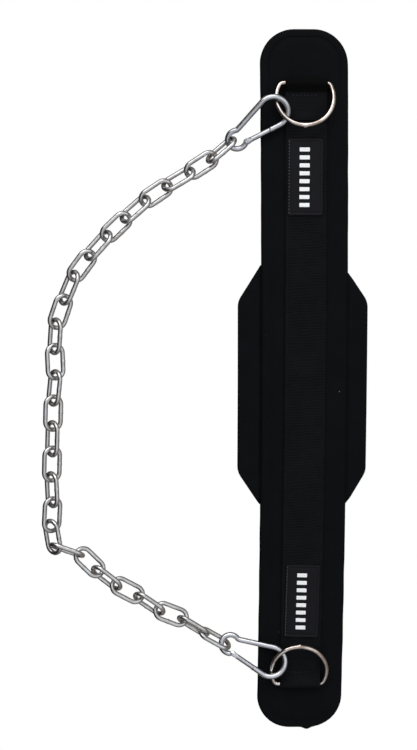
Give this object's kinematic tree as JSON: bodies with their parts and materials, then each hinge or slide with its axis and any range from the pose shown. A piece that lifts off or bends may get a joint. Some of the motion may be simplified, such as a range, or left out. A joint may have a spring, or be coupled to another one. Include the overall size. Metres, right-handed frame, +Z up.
{
  "type": "dip belt",
  "caption": "Black padded weight belt laid flat, a webbing strap along it with a D-ring near each end, and a welded steel chain hooked between the D-rings.",
  "frame": {"origin": "middle of the belt's underside, on the surface that it lies on", "axes": "+X across the belt, away from the chain; +Y along the belt, towards its upper end in the picture; +Z up from the surface"},
  "size_m": [0.3769, 0.812, 0.03],
  "materials": {
    "band_cloth": "matt woven polyester over foam",
    "webbing_tape": "ribbed polypropylene tape",
    "label_cloth": "satin woven patch",
    "nickel_wire": "nickel plate, bright",
    "hook_steel": "zinc plate, bright",
    "chain_steel": "zinc plate, dull"
  },
  "bodies": {
    "belt": {"belt_band": "band_cloth", "wing_left": "band_cloth", "wing_right": "band_cloth", "webbing": "webbing_tape", "label_top": "label_cloth", "label_bottom": "label_cloth", "d_ring_top": "nickel_wire", "d_ring_bottom": "nickel_wire", "hook_top": "hook_steel", "hook_bottom": "hook_steel", "link_01": "chain_steel", "link_02": "chain_steel", "link_03": "chain_steel", "link_04": "chain_steel", "link_05": "chain_steel", "link_06": "chain_steel", "link_07": "chain_steel", "link_08": "chain_steel", "link_09": "chain_steel", "link_10": "chain_steel", "link_11": "chain_steel", "link_12": "chain_steel", "link_13": "chain_steel", "link_14": "chain_steel", "link_15": "chain_steel", "link_16": "chain_steel", "link_17": "chain_steel", "link_18": "chain_steel", "link_19": "chain_steel", "link_20": "chain_steel", "link_21": "chain_steel", "link_22": "chain_steel", "link_23": "chain_steel", "link_24": "chain_steel", "link_25": "chain_steel", "link_26": "chain_steel", "link_27": "chain_steel"},
    "gate_top": {"gate_top": "hook_steel"},
    "gate_bottom": {"gate_bottom": "hook_steel"}
  },
  "joints": [
    {"name": "gate_top_hinge", "type": "hinge", "parent": "belt", "child": "gate_top", "pos_m": [-0.0647, 0.27968, 0.00957], "axis": [0.0229, -0.3489, 0.9369], "range_deg": [0, 25], "stiffness_Nm_per_rad": 0.08, "springref_deg": -11.46},
    {"name": "gate_bottom_hinge", "type": "hinge", "parent": "belt", "child": "gate_bottom", "pos_m": [-0.07912, -0.31269, 0.01434], "axis": [-0.0754, 0.2715, 0.9595], "range_deg": [0, 25], "stiffness_Nm_per_rad": 0.08, "springref_deg": -11.46}
  ]
}
